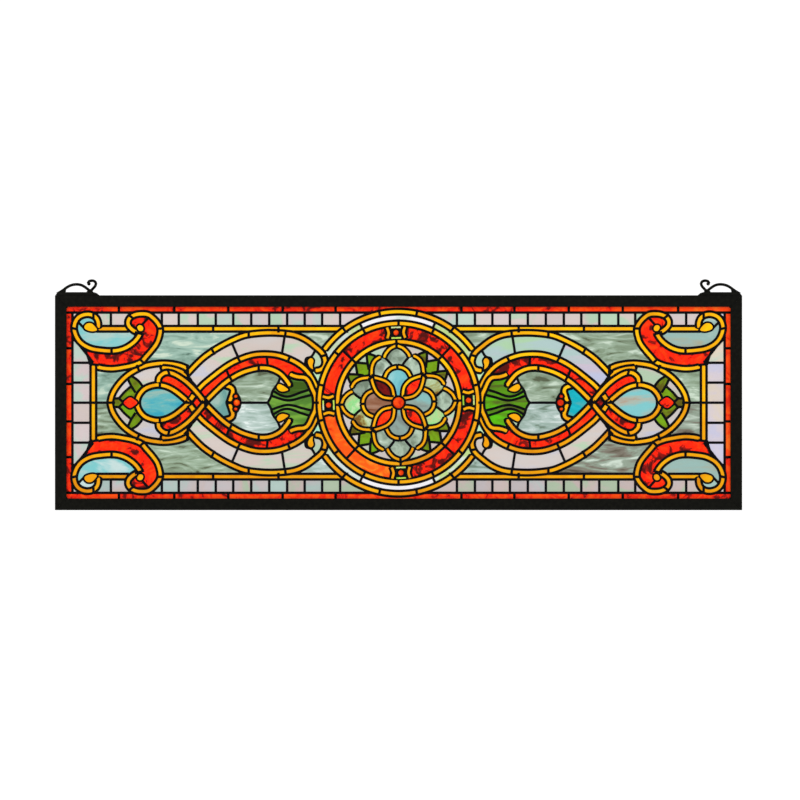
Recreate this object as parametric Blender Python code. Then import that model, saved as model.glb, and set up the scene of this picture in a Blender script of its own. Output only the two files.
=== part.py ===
"""A long stained glass window panel: coloured glass in a lead net, a dark channel frame and two hanging hooks.

X runs to the viewer's right, Z up, and the front faces -Y. The origin is the middle between the two places
where the hooks bear on what carries them. Sizes at the top are in millimetres.
The pattern is drawn for one quarter, as (distance from the middle, height above the middle), and mirrored.
"""

import math

import bmesh
import bpy
import numpy as np
from mathutils import Matrix, Vector
from mathutils.geometry import delaunay_2d_cdt

MM = 0.001

# Frame
panel_width = 889.0
panel_height = 278.0
frame_face = 15.0
frame_depth = 10.0
frame_back_wall = 4.5
frame_edge_ease = 1.0
frame_mitre_gap = 0.4

# Glass and lead
glass_thickness = 3.0
net_thickness = 5.0
lead_width = 2.8
gold_band_width = 5.2
clearance = 0.3
glass_in_channel = 6.5
thinnest_rib = 0.5

# Borders, measured inwards from the opening of the frame
red_border_width = 5.6
tile_border_end = 22.8
gold_line_inset = 28.3
column_gold_inset = 34.4

# Medallion: shares of half the height of the frame's opening, a width, and angles in degrees
outer_ring_share = 0.951
pale_ring_width = 4.5
inner_ring_share = 0.636
jewel_share = 0.056
medallion_turn = 2.0

# Hangers
hook_wire = 3.0
hook_curl_radius = 5.6
hook_from_side = 46.5
hook_curl_height = 14.2
hanger_plate_height = 4.2
hanger_plate_length = 57.5
hanger_plate_depth = 6.0
hanger_arch_height = 12.7

# How far a straight facet may leave the curve that it stands for
facet_sag = 1.6
ring_sag = 1.1

# What the pattern's points below are drawn for: the corner of the opening, the corner where the border's gold
# lines would cross, and the place where the straps stop the outer ring's gold
drawn_corner = (429.5, 124.0)
drawn_border = (395.1, 95.7)
drawn_ring_end = (96.6, 67.6)

opening_half_width = panel_width / 2 - frame_face
opening_half_height = panel_height / 2 - frame_face
outer_ring_radius = outer_ring_share * opening_half_height
inner_ring_radius = inner_ring_share * opening_half_height
jewel_radius = jewel_share * opening_half_height
outer_ring_half_span = math.degrees(math.atan2(*drawn_ring_end))
gold_half = gold_band_width / 2
sheath_half = gold_half + lead_width
second_ring_radius = outer_ring_radius - 2 * sheath_half - pale_ring_width
hook_rise = hook_curl_height + hook_curl_radius - hook_wire / 2
panel_middle_z = -(panel_height / 2 + hook_rise)

# Gold bands of one quarter, by their middle lines
GOLD_BANDS = {
    "scroll_inner": [
        (389, 96), (388.5, 102), (390.5, 108.5), (395.5, 113), (403.5, 114.5), (412, 112), (417.5, 106.5),
        (420, 98.5), (415, 82), (408, 75), (397.5, 70), (386, 68), (362.5, 68), (352.5, 71.5),
        (343.5, 77.5), (334, 91),
    ],
    "scroll_outer": [
        (334, 88.5), (344.5, 94.5), (349.5, 100), (350, 106), (346.5, 111), (333, 114.5), (324, 113.5),
        (316, 108), (308.5, 95), (309.5, 86.5), (319.5, 68), (333, 53), (355, 46), (369, 44), (381, 44.5),
        (394, 47),
    ],
    "leaf_outer": [
        (267, 41.5), (282.5, 48), (295.5, 50.5), (307, 51), (320, 49.5), (343.5, 40.5), (364, 22), (370.5, 11),
        (373.5, 0),
    ],
    "crossing": [
        (311, 29), (310.5, 32.5), (307.5, 35.5), (297.5, 39), (290.5, 37), (281, 31.5), (271, 23.5),
        (260.5, 12.5), (250, -1),
    ],
    "eye_ring": [
        (338.5, 0), (337.5, 6), (334, 12.5), (328.5, 18), (311, 23), (300.5, 21), (290.5, 16), (280, 8),
        (271, 0),
    ],
    "eye_tie": [(276, 4), (266, 15)],
    "ribbon_outer": [
        (276, 29), (272, 37), (263, 48.5), (240.5, 67), (214, 81.5), (184.5, 89.5), (166, 90.5),
        (146, 89.5), (119.5, 81), (100, 65.5), (95, 52.5), (97, 46), (102, 42.5), (109.5, 41.5),
    ],
    "ribbon_middle": [
        (263.5, 15), (253, 23.5), (241, 33.5), (215.5, 51.5), (187, 62), (172.5, 63), (157, 61.5), (130, 50.5),
        (119.5, 42), (112, 31.5), (105.5, 19),
    ],
    "ribbon_inner": [
        (250, -1), (236, 15.5), (214, 33), (201, 39.5), (185.5, 44), (174, 45), (163.5, 43), (153, 37.5),
        (145.5, 29.5), (141.5, 20.5),
    ],
    "fan_edge": [(149, 38), (138, 35.5), (121.5, 32.5), (116.5, 28), (112, 14), (110, 0)],
    "heart_edge": [(229, 19.5), (219.5, 20), (215, 15.5), (217.5, 4), (218, 0)],
}

# Leads that part one piece of glass from another
FULL_LEADS = {
    "scroll_end": [(398, 47), (406.5, 68.5), (423, 84)],
    "fan_back": [(169.5, 0), (162.5, 16), (152, 36)],
    "heart_back": [(220.5, 0), (220.5, 8.5), (216.5, 23.5), (207.5, 15), (201.5, 0)],
}

# Leads of the rosette, for half of one of its four sides
ROSETTE = {
    "petal_hood": [(15.5, 59.5), (12.3, 66), (7, 71), (0, 73.7)],
    "petal_foot": [(19.5, 28.5), (13.6, 40), (7.8, 45.3), (0, 46.5)],
    "petal_side": [(15.5, 59.5), (24, 58.5), (31, 50), (33.6, 33.6)],
    "drop": [(0, 40), (7.8, 38.1), (11, 33), (7.1, 26.5), (3.5, 18.7), (2, 8)],
    "almond": [(33.6, 33.6), (23.7, 30.3), (15.9, 27), (9.4, 20.6), (6.5, 11), (5.5, 5.5)],
}


def smooth(points, steps=12):
    """Points along one smooth curve through the given points."""
    ends = [2 * np.array(points[0]) - np.array(points[1])]
    ends += [np.array(p, float) for p in points]
    ends += [2 * np.array(points[-1]) - np.array(points[-2])]
    curve = []
    for a, b, c, d in zip(ends, ends[1:], ends[2:], ends[3:]):
        for step in range(steps):
            t = step / steps
            curve.append(
                0.5 * (2 * b + (c - a) * t + (2 * a - 5 * b + 4 * c - d) * t**2 + (3 * b - 3 * c + d - a) * t**3)
            )
    curve.append(ends[-2])
    return curve


def thinned(points, sag):
    """The fewest of the points that keep the line within the sag."""
    start = points[0]
    end = points[-1]
    chord = end - start
    length = max(np.hypot(*chord), 1e-9)
    away = [abs(chord[0] * (p - start)[1] - chord[1] * (p - start)[0]) / length for p in points]
    far = int(np.argmax(away))
    if away[far] <= sag or len(points) < 3:
        return [start, end]
    return thinned(points[: far + 1], sag)[:-1] + thinned(points[far:], sag)


def faceted(points):
    curve = smooth(points)
    middle = len(curve) // 2
    return thinned(curve[: middle + 1], facet_sag)[:-1] + thinned(curve[middle:], facet_sag)


def ring_fitted(points):
    """Drawn points of the medallion, which keep their shape."""
    return [np.array(p, float) * opening_half_height / drawn_corner[1] for p in points]


def fitted(points):
    """Drawn points, moved to fit this frame.

    They keep the medallion's scale as far as its outer ring. From there to the border's gold lines they stretch,
    and from there on they keep their distance from the frame.
    """
    drawn_ring = outer_ring_radius * drawn_corner[1] / opening_half_height
    border = (opening_half_width - column_gold_inset, opening_half_height - gold_line_inset)
    moved = []
    for x, z in points:
        away = np.interp(x, (0, drawn_ring, drawn_border[0]), (0, outer_ring_radius, border[0]))
        away += max(x - drawn_border[0], 0)
        above = min(z, drawn_border[1]) * border[1] / drawn_border[1] + max(z - drawn_border[1], 0)
        moved.append(np.array((away, above)))
    return moved


def arc(radius, start, end):
    """Points on a circle about the middle, between two angles in degrees."""
    steps = math.ceil(math.radians(end - start) / (2 * math.acos(1 - ring_sag / radius)))
    angles = np.radians(np.linspace(start, end, steps + 1))
    return [radius * np.array((math.cos(a), math.sin(a))) for a in angles]


def turned(points, degrees):
    """Points turned about the middle."""
    turn = math.radians(degrees)
    spin = np.array(((math.cos(turn), -math.sin(turn)), (math.sin(turn), math.cos(turn))))
    return [spin @ p for p in points]


def in_quarters(points):
    return [[p * np.array((x, z)) for p in points] for x in (1, -1) for z in (1, -1)]


def gold_lines():
    """Middle lines of every gold band of the borders, scrolls and straps."""
    lines = []
    for points in GOLD_BANDS.values():
        lines += in_quarters(faceted(fitted(points)))
    line_z = opening_half_height - gold_line_inset
    column_x = opening_half_width - column_gold_inset
    reach = math.sqrt(outer_ring_radius**2 - line_z**2)
    row_end, bar_start, bar_end = [p[0] for p in fitted([(310, 0), (349, 0), (391, 0)])]
    column_top = fitted([(0, 49)])[0][1]
    lines += in_quarters([np.array((reach, line_z)), np.array((row_end, line_z))])
    lines += in_quarters([np.array((bar_start, line_z)), np.array((bar_end, line_z))])
    lines += in_quarters([np.array((column_x, 0)), np.array((column_x, column_top))])
    return lines


def ring_arcs():
    lines = []
    for middle in (90, 270):
        lines.append(arc(outer_ring_radius, middle - outer_ring_half_span, middle + outer_ring_half_span))
    return lines


def medallion_joints():
    """Joints of the red ring, which run on across the gold rings on both sides of it."""
    joints = []
    for k in range(4):
        direction = turned([np.array((1.0, 0.0))], 90 * k + 45 + medallion_turn)[0]
        start = inner_ring_radius - gold_half - lead_width / 2
        end = second_ring_radius + gold_half + lead_width / 2
        joints.append([direction * start, direction * end])
    return joints


def rosette_lines():
    lines = [arc(jewel_radius + lead_width / 2, 0, 360)]
    for k in range(4):
        for points in ROSETTE.values():
            curve = faceted(ring_fitted(points))
            for side in (1, -1):
                lines.append(turned([p * np.array((side, 1)) for p in curve], 90 * k + medallion_turn))
        mirrored = [np.array((p[1], p[0])) for p in faceted(ring_fitted(ROSETTE["almond"]))]
        lines.append(turned(mirrored, 90 * k + medallion_turn))
    return lines


def full_lines():
    lines = []
    for points in FULL_LEADS.values():
        lines += in_quarters(faceted(fitted(points)))
    border_z = opening_half_height - red_border_width - lead_width / 2
    border_x = opening_half_width - red_border_width - lead_width / 2
    line_z = opening_half_height - gold_line_inset
    first = fitted([(306.4, 0)])[0][0]
    corners = [(border_x, border_z), (-border_x, border_z), (-border_x, -border_z), (border_x, -border_z)]
    for a, b in zip(corners, corners[1:] + corners[:1]):
        lines.append([np.array(a), np.array(b)])
    lines += in_quarters([np.array((first, line_z)), np.array((first, border_z))])
    return lines


def strip(points, half, closed=False):
    """The two edges of a strip of even width along a line, with mitred corners."""
    points = [np.asarray(p, float) for p in points]
    count = len(points)
    left = []
    right = []
    for i, point in enumerate(points):
        before = points[i - 1] if i or closed else None
        after = points[(i + 1) % count] if i + 1 < count or closed else None
        ways = []
        for a, b in ((before, point), (point, after)):
            if a is not None and b is not None:
                ways.append((b - a) / max(np.hypot(*(b - a)), 1e-9))
        mean = sum(ways) / max(np.hypot(*sum(ways)), 1e-9)
        widen = 1 / max(mean @ ways[0], 0.5)
        side = np.array((-mean[1], mean[0])) * half * widen
        left.append(point + side)
        right.append(point - side)
    return left, right


def strip_parts(points, half, closed=False):
    """The edges of a strip, as pairs of points, and the triangles that it covers."""
    left, right = strip(points, half, closed)
    count = len(points)
    spans = [(i, (i + 1) % count) for i in range(count if closed else count - 1)]
    edges = [(left[a], left[b]) for a, b in spans] + [(right[a], right[b]) for a, b in spans]
    if not closed:
        edges += [(left[0], right[0]), (left[-1], right[-1])]
    covered = []
    for a, b in spans:
        covered += [(left[a], left[b], right[b]), (left[a], right[b], right[a])]
    return edges, covered


def inside_any(places, triangles):
    """For each place, whether any of the triangles holds it."""
    found = np.zeros(len(places), bool)
    if not triangles:
        return found
    for a, b, c in triangles:
        signs = []
        for start, end in ((a, b), (b, c), (c, a)):
            edge = end - start
            signs.append(edge[0] * (places[:, 1] - start[1]) - edge[1] * (places[:, 0] - start[0]))
        found |= np.all(np.array(signs) >= 0, axis=0) | np.all(np.array(signs) <= 0, axis=0)
    return found


class Sheet:
    """The plane of the window, cut into small faces along the edges of every strip."""

    def __init__(self, layers):
        """Layers maps a name to (lines, half width). Each small face knows which layers cover it."""
        width = opening_half_width + glass_in_channel
        height = opening_half_height + glass_in_channel
        corners = [np.array((x * width, z * height)) for x, z in ((1, 1), (-1, 1), (-1, -1), (1, -1))]
        edges = list(zip(corners, corners[1:] + corners[:1]))
        covers = {}
        for name, (lines, half) in layers.items():
            covers[name] = []
            for line in lines:
                closed = len(line) > 3 and np.allclose(line[0], line[-1])
                more, triangles = strip_parts(line[:-1] if closed else line, half, closed)
                edges += more
                covers[name] += triangles
        points = [Vector(p) for edge in edges for p in edge]
        pairs = [(2 * i, 2 * i + 1) for i in range(len(edges))]
        verts, _, faces, _, _, _ = delaunay_2d_cdt(points, pairs, [], 0, 1e-3, False)
        self.verts = np.array([tuple(v) for v in verts])
        faces = np.array(faces)
        middles = self.verts[faces].mean(axis=1)
        inside = (np.abs(middles[:, 0]) < width) & (np.abs(middles[:, 1]) < height)
        self.faces = faces[inside]
        self.covered = {name: inside_any(middles[inside], found) for name, found in covers.items()}
        self.kinds = np.where(self.covered["gold"], 2, 0)
        self.kinds[(self.covered["sheath"] | self.covered["lead"]) & (self.kinds == 0)] = 1
        self.island = self.islands(self.kinds)

    def islands(self, kinds):
        """A number for each face, the same for all touching faces of one kind."""
        shared = {}
        for index, face in enumerate(self.faces):
            for a, b in zip(face, np.roll(face, -1)):
                shared.setdefault((min(a, b), max(a, b)), []).append(index)
        neighbours = [[] for _ in self.faces]
        for pair in shared.values():
            if len(pair) == 2 and kinds[pair[0]] == kinds[pair[1]]:
                neighbours[pair[0]].append(pair[1])
                neighbours[pair[1]].append(pair[0])
        island = np.full(len(self.faces), -1)
        for start in range(len(self.faces)):
            if island[start] >= 0:
                continue
            waiting = [start]
            island[start] = start
            while waiting:
                for other in neighbours[waiting.pop()]:
                    if island[other] < 0:
                        island[other] = start
                        waiting.append(other)
        return island

    def island_at(self, place):
        """The island of glass that holds a place, or -1 where the lead has closed over it."""
        place = np.array([place])
        low = self.verts[self.faces].min(axis=1)
        high = self.verts[self.faces].max(axis=1)
        near = np.all((low <= place) & (place <= high), axis=1)
        for index in np.flatnonzero(near):
            if self.kinds[index] != 1 and inside_any(place, [tuple(self.verts[self.faces[index]])])[0]:
                return self.island[index]
        return -1


def both_sides(name, place):
    return {name + "_right": (place[0], place[1]), name + "_left": (-place[0], place[1])}


def four_corners(name, place):
    cells = {}
    for side, x in (("right", 1), ("left", -1)):
        for level, z in (("upper", 1), ("lower", -1)):
            cells[f"{name}_{level}_{side}"] = (x * place[0], z * place[1])
    return cells


def cell_places():
    """A point inside each separate piece or group of glass, by the name of its node."""
    border_z = opening_half_height - red_border_width / 2
    row_z = opening_half_height - (red_border_width + lead_width + tile_border_end) / 2
    column_x = opening_half_width - (red_border_width + lead_width + column_gold_inset - sheath_half) / 2
    places = {"glass_border_red": (opening_half_width / 2, border_z)}
    drawn = {
        "glass_tile_corner": (365, 109), "glass_scroll_blue": (380, 80), "glass_scroll_red": (375, 56),
        "glass_ground": (290, 70), "glass_ribbon_white": (180, 75), "glass_ribbon_red": (195, 51),
        "glass_ground_tip": (97, 86),
    }
    places.update(four_corners("glass_tile_row", (opening_half_width / 2, row_z)))
    places.update(both_sides("glass_tile_column", (column_x, opening_half_height / 12)))
    side_x = opening_half_width - column_gold_inset - sheath_half - lead_width
    places.update(both_sides("glass_ground_side", (side_x, opening_half_height / 6)))
    for name, place in drawn.items():
        places.update(four_corners(name, fitted([place])[0]))
    drawn = {
        "glass_leaves": (353, 20),
        "glass_eye": (305, 3), "glass_heart": (235, 3), "glass_fan": (130, 1), "glass_ground_inner": (183, 20),
    }
    for name, place in drawn.items():
        places.update(both_sides(name, fitted([place])[0]))
    pale = (outer_ring_radius + second_ring_radius) / 2
    red = (second_ring_radius + inner_ring_radius) / 2
    places["glass_arc_pale_upper"] = (lead_width, pale)
    places["glass_arc_pale_lower"] = (lead_width, -pale)
    places["glass_ring_second"] = (lead_width, second_ring_radius)
    places["glass_ring_red"] = tuple(turned([np.array((red, 0.0))], 30)[0])
    places["glass_ring_inner"] = (lead_width, inner_ring_radius)
    places["glass_rosette"] = (thinnest_rib, thinnest_rib)
    return places


def flat_mesh(sheet, chosen, front):
    """The chosen faces of the sheet as a bmesh in the XZ plane, at the given Y."""
    mesh = bmesh.new()
    made = {}
    for index in np.unique(sheet.faces[chosen]):
        x, z = sheet.verts[index]
        made[index] = mesh.verts.new((x * MM, front * MM, (z + panel_middle_z) * MM))
    for face in sheet.faces[chosen]:
        mesh.faces.new([made[index] for index in face])
    mesh.normal_update()
    for face in mesh.faces:
        if face.normal.y > 0:
            face.normal_flip()
    return mesh


def join_flat_faces(mesh):
    bmesh.ops.dissolve_limit(
        mesh, angle_limit=math.radians(1.0), use_dissolve_boundaries=False, verts=mesh.verts, edges=mesh.edges,
        delimit={"MATERIAL"},
    )


def pushed_back(mesh, faces, depth):
    """Extrudes faces back along Y, keeps the faces in front, and gives the new faces at the back."""
    made = bmesh.ops.extrude_face_region(mesh, geom=faces, use_keep_orig=True)["geom"]
    moved = [item for item in made if isinstance(item, bmesh.types.BMVert)]
    bmesh.ops.translate(mesh, verts=moved, vec=(0, depth * MM, 0))
    return [item for item in made if isinstance(item, bmesh.types.BMFace)]


def new_object(name, mesh, material, home):
    bmesh.ops.recalc_face_normals(mesh, faces=mesh.faces)
    data = bpy.data.meshes.new(name)
    mesh.to_mesh(data)
    mesh.free()
    data.materials.append(material)
    made = bpy.data.objects.new(name, data)
    home.objects.link(made)
    return made


def glass_piece(name, sheet, chosen, material, home):
    mesh = flat_mesh(sheet, chosen, -glass_thickness / 2)
    join_flat_faces(mesh)
    pushed_back(mesh, list(mesh.faces), glass_thickness)
    new_object(name, mesh, material, home)


def lead_net(sheet, holes, material, home):
    """The lead: full depth between the pieces, and thin ribs on the front where a joint crosses one piece."""
    hole = np.isin(sheet.island, holes)
    rib = hole & sheet.covered["joint"]
    solid = rib | ~hole
    mesh = flat_mesh(sheet, solid, -net_thickness / 2)
    mesh.faces.ensure_lookup_table()
    for face, is_rib in zip(mesh.faces, rib[solid]):
        face.material_index = int(is_rib)
    join_flat_faces(mesh)
    rib_depth = max((net_thickness - glass_thickness) / 2 - clearance, thinnest_rib)
    backs = pushed_back(mesh, list(mesh.faces), rib_depth)
    deep = [face for face in backs if face.material_index == 0]
    pushed_back(mesh, deep, net_thickness - rib_depth)
    bmesh.ops.delete(mesh, geom=deep, context="FACES")
    for face in mesh.faces:
        face.material_index = 0
    join_flat_faces(mesh)
    new_object("lead_net", mesh, material, home)


def make_panel(materials, home):
    """The lead net, and every piece of glass in it with a clearance all round."""
    bands = gold_lines() + ring_arcs()
    rings = [arc(second_ring_radius, 0, 360), arc(inner_ring_radius, 0, 360)]
    leads = full_lines()
    lead_half = lead_width / 2
    net = Sheet({
        "gold": (rings, gold_half),
        "sheath": (rings + bands, sheath_half),
        "lead": (leads, lead_half),
        "joint": (medallion_joints() + rosette_lines(), lead_half),
    })
    glass = Sheet({
        "gold": (rings, gold_half - clearance),
        "sheath": (rings + bands, sheath_half + clearance),
        "lead": (leads, lead_half + clearance),
    })
    places = cell_places()
    lead_net(net, [net.island_at(place) for place in places.values()], materials["lead"], home)
    for name, place in places.items():
        kind = next(word for word in COLOURS if word in name)
        island = glass.island_at(place)
        if island >= 0:
            glass_piece(name, glass, glass.island == island, materials[kind], home)


def frame_bar(name, half_length, turn, reach, material, home):
    """One length of the channel, with mitred ends, on the side of the panel that the turn leads to."""
    half = frame_depth / 2
    lip = (net_thickness / 2) + clearance
    ease = frame_edge_ease
    profile = [
        (0, ease - half), (ease, -half), (frame_face, -half), (frame_face, -lip), (frame_back_wall, -lip),
        (frame_back_wall, lip), (frame_face, lip), (frame_face, half), (ease, half), (0, half - ease),
    ]
    mesh = bmesh.new()
    start = [mesh.verts.new((-half_length + inward, y, -inward)) for inward, y in profile]
    face = mesh.faces.new(start)
    made = bmesh.ops.extrude_face_region(mesh, geom=[face], use_keep_orig=True)["geom"]
    for vert in [item for item in made if isinstance(item, bmesh.types.BMVert)]:
        vert.co.x = -vert.co.x
    gap = frame_mitre_gap / 2
    for vert in mesh.verts:
        vert.co.x -= math.copysign(gap, vert.co.x)
    place = Matrix.Translation((0, 0, panel_middle_z * MM)) @ Matrix.Rotation(turn, 4, "Y")
    mesh.transform(place @ Matrix.Scale(MM, 4) @ Matrix.Translation((0, 0, reach)))
    new_object(name, mesh, material, home)


def make_frame(material, home):
    half_width = panel_width / 2
    half_height = panel_height / 2
    frame_bar("frame_top", half_width, 0, half_height, material, home)
    frame_bar("frame_right", half_height, math.pi / 2, half_width, material, home)
    frame_bar("frame_bottom", half_width, math.pi, half_height, material, home)
    frame_bar("frame_left", half_height, -math.pi / 2, half_width, material, home)


def hanger_wire_points(plate_top):
    """The middle line of a hanger's wire: an arch over the plate, then a hook curled back over it."""
    hook_x = panel_width / 2 - hook_from_side
    hook_z = panel_height / 2 + hook_curl_height
    outer = panel_width / 2 - hook_wire / 2
    low = plate_top - hook_wire * 0.3
    high = panel_height / 2 + hanger_arch_height
    span = outer - hook_x
    points = [
        (outer, low), (outer - 0.2 * span, low + 0.55 * (high - low)), (outer - 0.42 * span, high - 0.6),
        (outer - 0.62 * span, high), (outer - 0.8 * span, high - 1.8), (hook_x + 0.08 * span, low + 2.2),
        (hook_x - 0.6, low + 1.6),
    ]
    for degrees in range(-60, 241, 30):
        turn = math.radians(degrees)
        points.append(
            (hook_x - hook_curl_radius * math.cos(turn), hook_z + hook_curl_radius * math.sin(turn))
        )
    return points


def make_hanger(name, side, material, home, helpers):
    """A plate on the top of the frame, with a wire arch that ends in a curled hook."""
    foot = panel_height / 2 + clearance
    top = foot + hanger_plate_height
    curve = bpy.data.curves.new(name, "CURVE")
    curve.dimensions = "3D"
    curve.bevel_depth = hook_wire / 2 * MM
    curve.bevel_resolution = 1
    curve.use_fill_caps = True
    spline = curve.splines.new("POLY")
    route = thinned(smooth(hanger_wire_points(top), 6), 0.45)
    spline.points.add(len(route) - 1)
    for point, (x, z) in zip(spline.points, route):
        point.co = (side * x * MM, 0, (z + panel_middle_z) * MM, 1)
    wire = bpy.data.objects.new(name + "_wire_curve", curve)
    helpers.objects.link(wire)
    bpy.context.view_layer.update()
    data = bpy.data.meshes.new_from_object(wire.evaluated_get(bpy.context.evaluated_depsgraph_get()))
    helpers.objects.unlink(wire)
    bpy.data.objects.remove(wire)
    mesh = bmesh.new()
    mesh.from_mesh(data)
    bmesh.ops.remove_doubles(mesh, verts=mesh.verts, dist=1e-6)
    wire = new_object(name + "_wire", mesh, material, helpers)
    wire.hide_render = True
    wire.display_type = "WIRE"
    plate = bmesh.new()
    bmesh.ops.create_cube(plate, size=1.0)
    outer = panel_width / 2
    middle = outer - hanger_plate_length / 2
    for vert in plate.verts:
        taper = hanger_plate_height if vert.co.z > 0 and vert.co.x < 0 else 0
        vert.co.x = side * (middle + vert.co.x * hanger_plate_length + taper) * MM
        vert.co.y *= hanger_plate_depth * MM
        vert.co.z = ((foot + top) / 2 + vert.co.z * hanger_plate_height + panel_middle_z) * MM
    body = new_object(name, plate, material, home)
    join = body.modifiers.new("join_wire", "BOOLEAN")
    join.operation = "UNION"
    join.object = wire


COLOURS = {
    "border_red": (1.0, 0.05, 0.01), "gold": (1.0, 0.5, 0.0), "tile": (0.55, 0.55, 0.5),
    "blue": (0.25, 0.6, 0.65), "red": (0.9, 0.02, 0.01), "ground": (0.35, 0.5, 0.42),
    "white": (0.7, 0.62, 0.6), "leaves": (0.3, 0.35, 0.02), "eye": (0.2, 0.5, 0.55), "heart": (0.15, 0.5, 0.55),
    "fan": (0.12, 0.3, 0.03), "pale": (0.5, 0.75, 0.6), "ring": (1.0, 0.5, 0.0),
    "rosette": (0.6, 0.45, 0.4),
}


def make_materials():
    finishes = {kind: (colour, 0.12, 0.0) for kind, colour in COLOURS.items()}
    finishes["lead"] = ((0.03, 0.03, 0.03), 0.4, 0.8)
    finishes["frame"] = ((0.015, 0.015, 0.013), 0.35, 0.6)
    materials = {}
    for name, (colour, roughness, metallic) in finishes.items():
        material = bpy.data.materials.new(name)
        material.use_nodes = True
        shader = material.node_tree.nodes["Principled BSDF"]
        shader.inputs["Base Color"].default_value = (*colour, 1.0)
        shader.inputs["Roughness"].default_value = roughness
        shader.inputs["Metallic"].default_value = metallic
        materials[name] = material
    return materials


def main():
    for old in list(bpy.data.objects):
        bpy.data.objects.remove(old)
    home = bpy.data.collections.new("stained_glass_panel")
    helpers = bpy.data.collections.new("helpers")
    bpy.context.scene.collection.children.link(home)
    bpy.context.scene.collection.children.link(helpers)
    materials = make_materials()
    make_frame(materials["frame"], home)
    make_hanger("hanger_right", 1, materials["frame"], home, helpers)
    make_hanger("hanger_left", -1, materials["frame"], home, helpers)
    make_panel(materials, home)


main()
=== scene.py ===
"""Looks of the stained glass window panel: the lead net with its solder beads, every piece of glass, the
frame and the hangers.

The pattern is drawn for one quarter of the window, in millimetres, as (distance from the middle, height
above the middle), and mirrored. The rosette is drawn for half of one of its four arms.
"""

import math

import bmesh
import bpy
import numpy as np
from mathutils import Matrix, Vector, kdtree
from mathutils.geometry import delaunay_2d_cdt, tessellate_polygon


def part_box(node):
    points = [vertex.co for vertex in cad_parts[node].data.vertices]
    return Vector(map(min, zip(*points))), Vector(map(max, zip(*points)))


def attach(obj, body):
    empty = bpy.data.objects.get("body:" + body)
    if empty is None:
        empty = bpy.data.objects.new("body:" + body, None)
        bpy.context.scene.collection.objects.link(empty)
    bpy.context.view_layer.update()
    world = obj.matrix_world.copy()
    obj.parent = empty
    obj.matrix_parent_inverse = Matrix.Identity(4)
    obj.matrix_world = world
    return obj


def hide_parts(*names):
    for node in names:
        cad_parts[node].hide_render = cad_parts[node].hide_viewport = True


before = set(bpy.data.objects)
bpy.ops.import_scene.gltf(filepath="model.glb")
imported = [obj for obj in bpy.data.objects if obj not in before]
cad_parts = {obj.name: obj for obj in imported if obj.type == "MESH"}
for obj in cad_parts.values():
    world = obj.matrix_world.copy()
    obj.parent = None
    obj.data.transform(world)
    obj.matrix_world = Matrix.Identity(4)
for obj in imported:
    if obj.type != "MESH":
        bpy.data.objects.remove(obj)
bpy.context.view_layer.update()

MM = 0.001

# Places and sizes that come from the frame, in millimetres
rail_low, rail_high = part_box("frame_top")
floor_rail_low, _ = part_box("frame_bottom")
left_low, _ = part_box("frame_left")
_, right_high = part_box("frame_right")
frame_face = (rail_high.z - rail_low.z) / MM
half_depth = (rail_high.y - rail_low.y) / 2 / MM
panel_half_width = (right_high.x - left_low.x) / 2 / MM
panel_half_height = (rail_high.z - floor_rail_low.z) / 2 / MM
panel_middle_z = (rail_high.z + floor_rail_low.z) / 2 / MM
opening_half_width = panel_half_width - frame_face
opening_half_height = panel_half_height - frame_face

# Glass and lead
glass_half_thickness = 1.5
glass_in_channel = 6.0
lead_half = 1.7
gold_half = 1.95
gold_edge = gold_half + 2 * lead_half
rosette_gold_half = 1.4
rosette_gold_edge = 4.3
bead_height = 0.95
piece_lead_half = 1.5 * lead_half
drawn_in_share = 0.25
smallest_piece = 5.0
curve_step = 2.2

# Borders, measured inwards from the opening
red_border = 5.6
gold_line_inset = 28.3
column_gold_inset = 34.4
border_x = opening_half_width - red_border - lead_half
border_z = opening_half_height - red_border - lead_half
line_z = opening_half_height - gold_line_inset
column_x = opening_half_width - column_gold_inset
gold_line_end = 311
gold_line_under_ring = 4
gold_bar_ends = (349, 391)
gold_column_top = 48
gold_past_middle = 0.5
lead_overlap = 1

# Half the length of a lead across a straight gold band
joint_half = 5

# Where leads cross the borders of one quarter
RED_CUTS_ACROSS = (362, 290.3, 220.4, 150, 81.5)
RED_CUTS_UP = (70.5, 24.2)
TILE_CUTS_ACROSS = (306.4, 284.5, 259.9, 236.6, 214, 190.7, 167.4, 144.2, 121.5, 98.9, 75.6)
TILE_CUTS_UP = (51.7, 26, 0)

# Medallion
outer_ring = 117.9
second_ring = 102.6
inner_ring = 78.9
red_ring = (second_ring + inner_ring) / 2
medallion_turn = 2.0
outer_ring_span = 55.0

# Leads across its rings, by their angles or by how many there are
OUTER_RING_CUTS = (126.7, 102, 78.5, 53.7)
PALE_ARC_CUTS = (65.4, 116)
second_ring_cuts = 14
inner_ring_cuts = 8
red_ring_cuts = 4

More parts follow.
